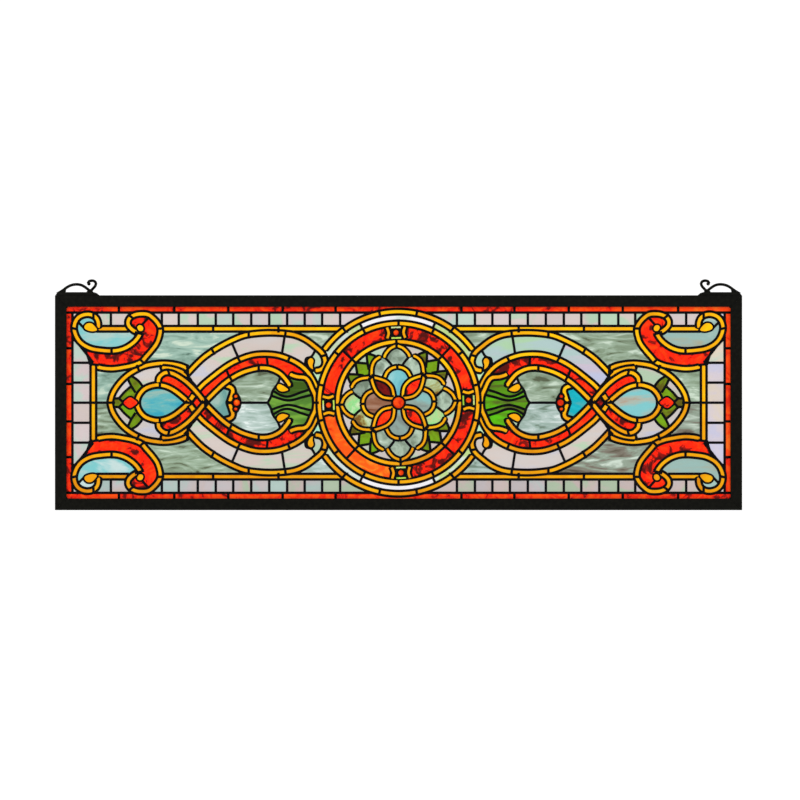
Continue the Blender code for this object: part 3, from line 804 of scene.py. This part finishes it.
def lay_straps(window):
    for points in THIN_LEADS:
        for _, line in in_quarters(smooth(points)):
            window.lay_lead(line)
    for _, line in in_quarters(smooth(BOSS_LEAD)):
        window.lay_strip(line, boss_lead_half, "lead")
    for name, points in GOLD_BANDS.items():
        caps = BAND_CAPS.get(name, (0, 0))
        for place, line in in_quarters(smooth(points)):
            window.lay_band(line, gold_half, gold_edge, f"{name}_{corner_name(place)}", caps=caps)


def lay_rings(window):
    for middle, level in ((90, "upper"), (270, "lower")):
        line = arc(outer_ring, middle - outer_ring_span, middle + outer_ring_span)
        window.lay_band(line, gold_half, gold_edge, f"gold_ring_outer_{level}", caps=(1.5, 1.5))
    for radius, name in ((second_ring, "gold_ring_second"), (inner_ring, "gold_ring_inner")):
        line = arc(radius, 0, 360)[:-1]
        window.lay_band(line, gold_half, gold_edge, name, closed=True)
    cuts = [(angle, outer_ring - gold_edge, outer_ring + gold_edge) for angle in OUTER_RING_CUTS]
    start = second_ring + gold_edge - lead_overlap
    cuts += [(angle, start, outer_ring - gold_edge + lead_overlap) for angle in PALE_ARC_CUTS]
    for angle, start, end in cuts:
        for flip in (1, -1):
            lay_spoke(window, flip * angle, start, end)
    for k in range(second_ring_cuts):
        angle = 90 + k * 360 / second_ring_cuts
        lay_spoke(window, angle, second_ring - gold_edge, second_ring + gold_edge)
    for k in range(inner_ring_cuts):
        angle = medallion_turn + 360 / inner_ring_cuts * k
        lay_spoke(window, angle, inner_ring - gold_edge, inner_ring + gold_edge)
    for k in range(red_ring_cuts):
        angle = medallion_turn + 45 + 360 / red_ring_cuts * k
        start = inner_ring + gold_edge - lead_overlap
        lay_spoke(window, angle, start, second_ring - gold_edge + lead_overlap)


def lay_spoke(window, degrees, start, end):
    window.lay_lead(turned([(start, 0), (end, 0)], degrees))


def lay_cartouches(window):
    jewels = []
    for k in range(4):
        degrees = 90 * k + medallion_turn

        def put(points):
            return turned([np.array((along, out + red_ring)) for along, out in points], degrees)

        for side in (1, -1):
            cap = smooth([(side * along, out * cartouche_cap_bed) for along, out in cartouche_cap])
            window.lay_strip(put(cap), cartouche_cap_half + 2 * lead_half, "lead")
        bed = put([(0, -cartouche_bed_half), (0, cartouche_bed_half)])
        window.lay_strip(bed, cartouche_cap[1][0], "lead")
        for side in (1, -1):
            cap = smooth([(side * along, out) for along, out in cartouche_cap])
            window.lay_strip(put(cap), cartouche_cap_half, f"gold_cartouche_{k}")
            bit = [(along, out + side * cartouche_bit_out) for along, out in cartouche_bit]
            window.lay_strip(put(bit), cartouche_bit_half, f"glass_cartouche_green_{k}")
            crest = [(side * (along + cartouche_cap_half + lead_half), out) for along, out in cartouche_cap]
            window.lay_crest(put(smooth(crest)))
        jewels.append((put([(0, 0)])[0], cartouche_jewel_radius))
    return jewels


def lay_rosette(window):
    for points in ROSETTE_LEADS:
        for _, line in in_arms(smooth(points)):
            window.lay_lead(line)
        for _, line in in_arms(smooth([(z, x) for x, z in points])):
            window.lay_lead(line)
    for name, (points, caps) in ROSETTE_GOLD.items():
        for arm, line in in_arms(smooth(points)):
            window.lay_band(line, rosette_gold_half, rosette_gold_edge, f"{name}_{arm}", caps=caps)
    for points in ROSETTE_JOINTS:
        for _, line in in_arms(points):
            window.lay_lead(line)


def lay_small_pieces(window):
    for points in BAND_JOINTS:
        for _, line in in_quarters(points):
            window.lay_lead(line)
    for name, points in SMALL_PIECES.items():
        for place, outline in in_quarters(points if name in STRAIGHT_SIDED else loop_through(points)):
            if place[1] > 0 or name not in ACROSS_THE_MIDDLE:
                window.lay_piece(outline, f"{name}_{corner_name(place)}")


def all_jewels():
    """Place and radius of every jewel of the straps and the rosette."""
    jewels = [(np.array((0.0, 0.0)), centre_jewel_radius)]
    for place, radius in BOSS_JEWELS:
        for signs, (image,) in in_quarters([place]):
            if place[1] > 0 or signs[1] > 0:
                jewels.append((image, radius))
    return jewels


def lay_jewel(window, place, radius):
    outline = arc(radius, 0, 360, place)[:-1]
    window.lay_piece(outline, "jewel_bed")


def named_places():
    """Every named place in the glass: its place, the piece's name and the kind of glass."""
    found = []
    for name, (glass, places) in PLACES.items():
        for _, images in in_quarters(places):
            for place in images:
                side = "right" if place[0] > 0 else "left"
                level = "_upper" if place[1] >= 0 else "_lower"
                if name in ONE_EACH_SIDE:
                    level = ""
                found.append((place, f"{name}{level}_{side}", glass))
    for name, (glass, places) in ROSETTE_PLACES.items():
        for arm, images in in_arms(places):
            for place in images:
                found.append((place, f"{name}_{arm}", glass))
        for arm, images in in_arms([(z, x) for x, z in places]):
            for place in images:
                if name in ("glass_rosette_green", "glass_rosette_white"):
                    found.append((place, f"{name}_{arm}", glass))
    return found


def zone_of(place):
    """The name and glass of a piece of the borders and rings, which are told by their place alone."""
    x, z = abs(place[0]), abs(place[1])
    side = "right" if place[0] > 0 else "left"
    level = "upper" if place[1] >= 0 else "lower"
    radius = math.hypot(x, z)
    if x > border_x or z > border_z:
        return "glass_border_red", "border"
    if inner_ring < radius < second_ring:
        return "glass_ring_red", "ring_red"
    if second_ring < radius < outer_ring and z > pale_arc_foot:
        return f"glass_arc_pale_{level}", "arc"
    if x < tile_row_end and z > line_z and radius > outer_ring:
        return f"glass_tile_row_{level}_{side}", "tile"
    if x > column_x and z < tile_column_end:
        return f"glass_tile_column_{side}", "tile"
    return None


def sorted_glass(window):
    """Groups the islands by the name of their piece, with the glass of each."""
    places = named_places()
    at = np.array([p for p, _, _ in places])
    groups = {}
    for island in window.islands:
        kind = window.names[window.top[island[0]]]
        middle = window.middle_of(island)
        if kind == "jewel_bed":
            continue
        if kind.startswith("gold"):
            name, glass = kind, "gold"
        elif kind.startswith("glass_cartouche"):
            name, glass = kind, "cartouche_green"
        elif kind.startswith(("glass_tie", "glass_bud")):
            name, glass = kind, "red"
        else:
            told = zone_of(middle)
            if told is None:
                inside = [i for i, place in enumerate(at) if window.holds(island, place)]
                nearest = inside[0] if inside else int(np.argmin(np.hypot(*(at - middle).T)))
                told = places[nearest][1:]
            name, glass = told
        groups.setdefault((name, glass_for(glass, middle)), []).append(island)
    return groups


def glass_for(glass, middle):
    """The sheet that a piece is cut from, which for some kinds depends on where it is."""
    x, z = middle
    side = "right" if x > 0 else "left"
    if glass in ("boat", "eye", "heart", "fan"):
        return f"{glass}_{side}"
    if glass == "border":
        orange = x > orange_border_from[0] and z > orange_border_from[1]
        return "border_orange" if orange else "border_red"
    if glass == "ring_red":
        return "orange" if max(x, z) < orange_ring_below else "red"
    if glass == "almond":
        return "dark_red" if x < 0 < z else "red"
    if glass == "tile":
        if x > column_x:
            return "tile_lilac"
        return "tile_grey" if z < -line_z else "tile"
    if glass == "opal":
        blue = blue_ribbon_reach[0] < x < blue_ribbon_reach[1] and z > blue_ribbon_from
        return "opal_blue" if blue else "opal"
    if glass == "arc":
        return "arc_green" if abs(x) > green_arc_from else "arc_white"
    if glass == "ground":
        if abs(x) < middle_ground_reach:
            return "ground_pale" if z < 0 else "ground"
        return "ground_blue" if x < 0 < z else "ground_warm" if z < 0 < x else "ground"
    if glass == "petal":
        if abs(x) > tan_petal_from and x * z > tan_petal_slant:
            return "petal_tan"
        lime = x < lime_petal_left or x > lime_petal_right[0] and z < lime_petal_right[1]
        return "petal_lime" if lime else "petal"
    if glass == "drop":
        return "drop_teal" if z > teal_drop_from else "drop_rose" if x < rose_drop_left else "drop_grey"
    return glass


def linear(colour):
    """A screen colour of 0 to 255 as the shader wants it."""
    shares = [c / 255 for c in colour]
    return [s / 12.92 if s <= 0.04045 else ((s + 0.055) / 1.055) ** 2.4 for s in shares]


def in_first_order(items):
    """Each item once, in an order that is the same in every run."""
    return list(dict.fromkeys(items))


def put_in_panel(mesh):
    """Takes a mesh from millimetres about the window's middle to metres about the origin."""
    for vert in mesh.verts:
        vert.co = (vert.co.x * MM, vert.co.y * MM, (vert.co.z + panel_middle_z) * MM)


def finished(name, mesh, material, smooth_faces=False):
    """The mesh as a piece of the panel, fixed to its one body."""
    data = bpy.data.meshes.new(name)
    mesh.to_mesh(data)
    mesh.free()
    data.materials.append(material)
    if smooth_faces:
        data.shade_smooth()
    piece = bpy.data.objects.new(name, data)
    bpy.context.scene.collection.objects.link(piece)
    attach(piece, "root")
    return piece


def glass_mesh(window, islands, rng):
    """Flat pieces of glass with a thickness, each with its own place in the pattern of its sheet."""
    mesh = bmesh.new()
    own = mesh.verts.layers.float_color.new("own_sheet")
    for island in islands:
        share = rng.random(3)
        made = {}
        for index in np.unique(window.faces[island]):
            x, z = window.verts[index]
            made[index] = mesh.verts.new((x, -glass_half_thickness, z))
            made[index][own] = (*share, 1.0)
        faces = [mesh.faces.new([made[i] for i in face]) for face in window.faces[island]]
        bmesh.ops.recalc_face_normals(mesh, faces=faces)
        if faces[0].normal.y > 0:
            bmesh.ops.reverse_faces(mesh, faces=faces)
        edges = in_first_order(edge for face in faces for edge in face.edges)
        bmesh.ops.dissolve_limit(
            mesh, angle_limit=0.01, verts=list(made.values()), edges=edges, delimit=set(),
        )
    faces = list(mesh.faces)
    backs = bmesh.ops.extrude_face_region(mesh, geom=faces, use_keep_orig=True)["geom"]
    moved = [item for item in backs if isinstance(item, bmesh.types.BMVert)]
    bmesh.ops.translate(mesh, verts=moved, vec=(0, 2 * glass_half_thickness, 0))
    bmesh.ops.recalc_face_normals(mesh, faces=mesh.faces)
    put_in_panel(mesh)
    return mesh


def lead_mesh(window):
    """The net: a rounded bead of solder along every lead, on the front and on the back."""
    lead = window.top == Window.LEAD
    in_lead = np.unique(window.faces[lead])
    in_glass = np.unique(window.faces[~lead])
    rim = np.intersect1d(in_lead, in_glass)
    tree = kdtree.KDTree(len(rim))
    for index in rim:
        tree.insert((*window.verts[index], 0), int(index))
    tree.balance()
    mesh = bmesh.new()
    front = {}
    for index in in_lead:
        x, z = window.verts[index]
        gap = tree.find((x, z, 0))[2]
        share = min(gap / lead_half, 1.0)
        height = bead_height * math.sqrt(1 - (1 - share) ** 2)
        front[index] = mesh.verts.new((x, -glass_half_thickness - height, z))
    for face in window.faces[lead]:
        mesh.faces.new([front[i] for i in face])
    bmesh.ops.recalc_face_normals(mesh, faces=mesh.faces)
    if sum(face.normal.y for face in mesh.faces) > 0:
        bmesh.ops.reverse_faces(mesh, faces=mesh.faces)
    made = bmesh.ops.extrude_face_region(mesh, geom=list(mesh.faces), use_keep_orig=True)["geom"]
    for vert in [item for item in made if isinstance(item, bmesh.types.BMVert)]:
        vert.co.y = -vert.co.y
    bmesh.ops.recalc_face_normals(mesh, faces=mesh.faces)
    put_in_panel(mesh)
    return mesh


def jewel_mesh(place, radius):
    """A round jewel, domed on both sides."""
    mesh = bmesh.new()
    bmesh.ops.create_uvsphere(mesh, u_segments=32, v_segments=16, radius=radius * jewel_under_lead)
    squash = (glass_half_thickness + min(radius * jewel_dome_share, jewel_dome_most)) / radius
    bmesh.ops.rotate(mesh, verts=mesh.verts, cent=(0, 0, 0), matrix=Matrix.Rotation(math.pi / 2, 3, "X"))
    bmesh.ops.scale(mesh, verts=mesh.verts, vec=(1, squash, 1))
    bmesh.ops.translate(mesh, verts=mesh.verts, vec=(place[0], 0, place[1]))
    put_in_panel(mesh)
    return mesh


def new_shader(name):
    material = bpy.data.materials.new(name)
    material.use_nodes = True
    tree = material.node_tree
    return material, tree, tree.nodes["Principled BSDF"]


def noise(tree, vector, scale, detail, distortion=0.0, roughness=0.5, shift=None):
    node = tree.nodes.new("ShaderNodeTexNoise")
    node.noise_dimensions = "4D"
    node.inputs["Scale"].default_value = scale
    node.inputs["Detail"].default_value = detail
    node.inputs["Roughness"].default_value = roughness
    node.inputs["Distortion"].default_value = distortion
    tree.links.new(vector, node.inputs["Vector"])
    if shift is not None:
        tree.links.new(shift, node.inputs["W"])
    return node.outputs["Fac"]


def ramp(tree, value, stops):
    """A colour ramp with the given places and colours."""
    node = tree.nodes.new("ShaderNodeValToRGB")
    node.color_ramp.interpolation = "EASE"
    while len(node.color_ramp.elements) < len(stops):
        node.color_ramp.elements.new(0.5)
    for element, (place, colour) in zip(node.color_ramp.elements, stops):
        element.position = place
        element.color = (*linear(colour), 1.0)
    tree.links.new(value, node.inputs["Fac"])
    return node.outputs["Color"]


def with_painted_shade(tree, share, colour, shade_colour):
    """The colour multiplied by a painted shade colour, as far as the share says."""
    node = tree.nodes.new("ShaderNodeMix")
    node.data_type = "RGBA"
    node.blend_type = "MULTIPLY"
    tree.links.new(share, node.inputs["Factor"])
    tree.links.new(colour, node.inputs["A"])
    node.inputs["B"].default_value = (*linear(shade_colour), 1.0)
    return node.outputs["Result"]


def scaled(tree, value, factor, plus=0.0):
    node = tree.nodes.new("ShaderNodeMath")
    node.operation = "MULTIPLY_ADD"
    node.inputs[1].default_value = factor
    node.inputs[2].default_value = plus
    tree.links.new(value, node.inputs[0])
    return node.outputs["Value"]


def glass_material(name):
    """Sheet glass: colours that run into each other, in a pattern of its own on each piece."""
    stops, scale, distortion, stretch, drift = GLASS_KINDS[name]
    material, tree, shader = new_shader(name)
    links = tree.links
    coordinate = tree.nodes.new("ShaderNodeTexCoord")
    own = tree.nodes.new("ShaderNodeAttribute")
    own.attribute_name = "own_sheet"
    shares = tree.nodes.new("ShaderNodeSeparateColor")
    links.new(own.outputs["Color"], shares.inputs["Color"])
    mapping = tree.nodes.new("ShaderNodeMapping")
    mapping.inputs["Scale"].default_value = stretch
    links.new(coordinate.outputs["Object"], mapping.inputs["Vector"])
    shift = scaled(tree, shares.outputs["Red"], 9.0)
    value = noise(
        tree, mapping.outputs["Vector"], scale, detail=5.0, distortion=distortion, roughness=0.55,
        shift=shift,
    )
    drifted = tree.nodes.new("ShaderNodeMath")
    drifted.operation = "ADD"
    links.new(value, drifted.inputs[0])
    links.new(scaled(tree, shares.outputs["Green"], drift, -drift / 2), drifted.inputs[1])
    colour = ramp(tree, drifted.outputs["Value"], stops)
    # Painted shade: the gold is made darker and a little bluer in the lower half of the window
    if name in LOWER_PAINTED_SHADE:
        colour = with_painted_shade(tree, below_middle(tree, coordinate), colour, LOWER_PAINTED_SHADE[name])
    bright = tree.nodes.new("ShaderNodeHueSaturation")
    links.new(colour, bright.inputs["Color"])
    brightness = scaled(tree, shares.outputs["Blue"], piece_brightness_range, piece_brightness)
    links.new(brightness, bright.inputs["Value"])
    links.new(bright.outputs["Color"], shader.inputs["Base Color"])
    shader.inputs["Roughness"].default_value = 0.2
    shader.inputs["IOR"].default_value = 1.5
    shader.inputs["Specular IOR Level"].default_value = 0.09
    waves = noise(tree, coordinate.outputs["Object"], 90.0, detail=2.0, distortion=0.3, shift=shift)
    bump = tree.nodes.new("ShaderNodeBump")
    bump.inputs["Strength"].default_value = 0.25
    bump.inputs["Distance"].default_value = 0.0006
    links.new(waves, bump.inputs["Height"])
    links.new(bump.outputs["Normal"], shader.inputs["Normal"])
    return material


def below_middle(tree, coordinate):
    """0 in the upper half of the window and 1 in the lower half, with a soft change."""
    place = tree.nodes.new("ShaderNodeSeparateXYZ")
    tree.links.new(coordinate.outputs["Object"], place.inputs["Vector"])
    share = tree.nodes.new("ShaderNodeMapRange")
    share.inputs["From Min"].default_value = (panel_middle_z + painted_shade_start) * MM
    share.inputs["From Max"].default_value = (panel_middle_z + painted_shade_full) * MM
    tree.links.new(place.outputs["Z"], share.inputs["Value"])
    return share.outputs["Result"]


def dark_metal(name, colour, roughness, metallic, grain_scale, grain):
    """Blackened metal with a fine uneven surface."""
    material, tree, shader = new_shader(name)
    links = tree.links
    coordinate = tree.nodes.new("ShaderNodeTexCoord")
    value = noise(tree, coordinate.outputs["Object"], grain_scale, detail=4.0)
    lighter = [c * 1.5 + 2 for c in colour]
    links.new(ramp(tree, value, [(0.35, colour), (0.7, lighter)]), shader.inputs["Base Color"])
    links.new(scaled(tree, value, 0.16, roughness - 0.08), shader.inputs["Roughness"])
    shader.inputs["Metallic"].default_value = metallic
    shader.inputs["Specular IOR Level"].default_value = 0.05
    bump = tree.nodes.new("ShaderNodeBump")
    bump.inputs["Strength"].default_value = grain
    bump.inputs["Distance"].default_value = 0.0004
    links.new(value, bump.inputs["Height"])
    links.new(bump.outputs["Normal"], shader.inputs["Normal"])
    return material


def window_materials():
    made = {name: glass_material(name) for name in GLASS_KINDS}
    made["lead"] = dark_metal(
        "blackened_lead", (8, 8, 11), roughness=0.42, metallic=0.5, grain_scale=160, grain=0.25,
    )
    made["frame"] = dark_metal(
        "black_satin_frame", (11, 11, 8), roughness=0.45, metallic=0.2, grain_scale=220, grain=0.1,
    )
    return made


def make_window(materials):
    window = Window()
    lay_borders(window)
    lay_straps(window)
    lay_rings(window)
    jewels = lay_cartouches(window) + all_jewels()
    lay_rosette(window)
    lay_small_pieces(window)
    for place, radius in jewels:
        lay_jewel(window, place, radius)
    window.cut()
    rng = np.random.default_rng(7)
    cad_glass = {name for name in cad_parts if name.startswith("glass")}
    begun = set()
    for (name, glass), islands in sorted(sorted_glass(window).items(), key=lambda item: item[0]):
        mesh = glass_mesh(window, islands, rng)
        label = name + ("_pane" if name in cad_glass else "")
        if name in begun:
            label += f"_of_{glass}"
        begun.add(name)
        piece = finished(label, mesh, materials[glass])
        if name in cad_glass:
            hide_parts(name)
        elif name == "gold_ring_second":
            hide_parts("glass_ring_second")
        elif name == "gold_ring_inner":
            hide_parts("glass_ring_inner")
    net = finished("lead_lines", lead_mesh(window), materials["lead"], True)
    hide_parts("lead_net")
    for number, (place, radius) in enumerate(jewels):
        piece = finished(f"jewel_{number}", jewel_mesh(place, radius), materials["jewel"], True)
        if radius == centre_jewel_radius:
            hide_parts("glass_rosette")


def draw_wire(mesh, line, radius):
    """A round wire along a line of (across, above) points, in the plane of the panel."""
    line = [np.asarray(p, float) for p in line]
    face = None
    for i, point in enumerate(line):
        way = line[min(i + 1, len(line) - 1)] - line[max(i - 1, 0)]
        way = way / np.hypot(*way)
        if face is None:
            bmesh.ops.create_circle(mesh, cap_ends=True, segments=wire_sides, radius=radius)
            mesh.faces.ensure_lookup_table()
            face = mesh.faces[-1]
        else:
            made = bmesh.ops.extrude_face_region(mesh, geom=[face])["geom"]
            face = next(item for item in made if isinstance(item, bmesh.types.BMFace))
        for k, vert in enumerate(face.verts):
            angle = 2 * math.pi * k / wire_sides
            beside = point + np.array((-way[1], way[0])) * radius * math.cos(angle)
            vert.co = (beside[0], radius * math.sin(angle), beside[1])


def draw_plate(mesh, outline, depth, ease):
    """A flat plate with the given outline, with eased edges."""
    verts = [mesh.verts.new((x, -depth / 2, z)) for x, z in outline]
    face = mesh.faces.new(verts)
    made = bmesh.ops.extrude_face_region(mesh, geom=[face], use_keep_orig=True)["geom"]
    moved = [item for item in made if isinstance(item, bmesh.types.BMVert)]
    bmesh.ops.translate(mesh, verts=moved, vec=(0, depth, 0))
    edges = in_first_order(edge for vert in verts + moved for edge in vert.link_edges)
    bmesh.ops.bevel(mesh, geom=edges, offset=ease, segments=2, profile=0.5, affect="EDGES", material=-1)


def make_hangers(materials):
    """A plate on the frame with an arch of wire over it and a curled hook, once at each end."""
    for side, name in ((1, "hanger_right"), (-1, "hanger_left")):
        mesh = bmesh.new()
        draw_plate(mesh, HANGER_PLATE, hanger_depth, hanger_ease)
        for outline in HANGER_WEBS:
            draw_plate(mesh, outline, web_depth, web_ease)
        draw_wire(mesh, smooth(HANGER_ARCH), wire_radius)
        draw_wire(mesh, smooth(HANGER_HOOK), wire_radius)
        end = HANGER_HOOK[-1]
        made = bmesh.ops.create_uvsphere(mesh, u_segments=16, v_segments=10, radius=hook_end_radius)["verts"]
        bmesh.ops.translate(mesh, verts=made, vec=(end[0], 0, end[1]))
        bmesh.ops.holes_fill(mesh, edges=[edge for edge in mesh.edges if edge.is_boundary], sides=0)
        for vert in mesh.verts:
            vert.co = (vert.co.x * side * MM, vert.co.y * MM, vert.co.z * MM + rail_high.z)
        bmesh.ops.recalc_face_normals(mesh, faces=mesh.faces)
        piece = finished(name + "_wire", mesh, materials["frame"], True)
        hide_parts(name)


def make_frame(materials):
    for name in ("frame_top", "frame_bottom", "frame_left", "frame_right"):
        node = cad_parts[name]
        node.data.materials.clear()
        node.data.materials.append(materials["frame"])


def make_stage():
    """A pale floor that curves up into a pale wall all round, and soft lights."""
    mesh = bmesh.new()
    outline = [(0, floor_height), (floor_radius, floor_height)]
    for angle in np.linspace(sweep_start, math.pi / 2, sweep_steps):
        across = floor_radius + sweep_radius * math.sin(angle)
        outline.append((across, floor_height + sweep_radius * (1 - math.cos(angle))))
    outline.append((floor_radius + sweep_radius, wall_top))
    verts = [mesh.verts.new((x, 0, z)) for x, z in outline]
    edges = [mesh.edges.new(pair) for pair in zip(verts, verts[1:])]
    bmesh.ops.spin(
        mesh, geom=verts + edges, cent=(0, 0, 0), axis=(0, 0, 1), angle=2 * math.pi, steps=floor_turns,
        use_merge=True,
    )
    bmesh.ops.remove_doubles(mesh, verts=mesh.verts, dist=1e-5)
    bmesh.ops.recalc_face_normals(mesh, faces=mesh.faces)
    data = bpy.data.meshes.new("pale_floor")
    mesh.to_mesh(data)
    mesh.free()
    data.shade_smooth()
    material, _, shader = new_shader("pale_floor")
    shader.inputs["Base Color"].default_value = (floor_grey, floor_grey, floor_grey, 1)
    shader.inputs["Roughness"].default_value = 0.9
    shader.inputs["Specular IOR Level"].default_value = 0.0
    shader.inputs["Emission Color"].default_value = (1, 1, 1, 1)
    shader.inputs["Emission Strength"].default_value = floor_glow
    data.materials.append(material)
    floor = bpy.data.objects.new("pale_floor", data)
    bpy.context.scene.collection.objects.link(floor)
    world = bpy.context.scene.world or bpy.data.worlds.new("studio")
    bpy.context.scene.world = world
    world.use_nodes = True
    background = world.node_tree.nodes["Background"]
    background.inputs["Color"].default_value = (1, 1, 1, 1)
    background.inputs["Strength"].default_value = sky_strength
    for name, (place, size, power) in LIGHTS.items():
        light = bpy.data.lights.new(name, "AREA")
        light.energy = power
        light.size = size
        lamp = bpy.data.objects.new(name, light)
        lamp.location = place
        aim = Vector((0, 0, panel_middle_z * MM)) - Vector(place)
        lamp.rotation_euler = aim.to_track_quat("-Z", "Y").to_euler()
        bpy.context.scene.collection.objects.link(lamp)
    bpy.context.scene.view_settings.view_transform = "Standard"


def make_camera():
    """Straight in front of the panel."""
    data = bpy.data.cameras.new("camera")
    data.sensor_width = sensor_width
    data.lens = sensor_width * camera_distance / picture_width
    camera = bpy.data.objects.new("camera", data)
    camera.location = (
        camera_across, -half_depth * MM - camera_distance, panel_middle_z * MM + camera_above,
    )
    camera.rotation_euler = (math.pi / 2, 0, 0)
    bpy.context.scene.collection.objects.link(camera)
    bpy.context.scene.camera = camera


make_camera()
finishes = window_materials()
make_window(finishes)
make_frame(finishes)
make_hangers(finishes)
make_stage()
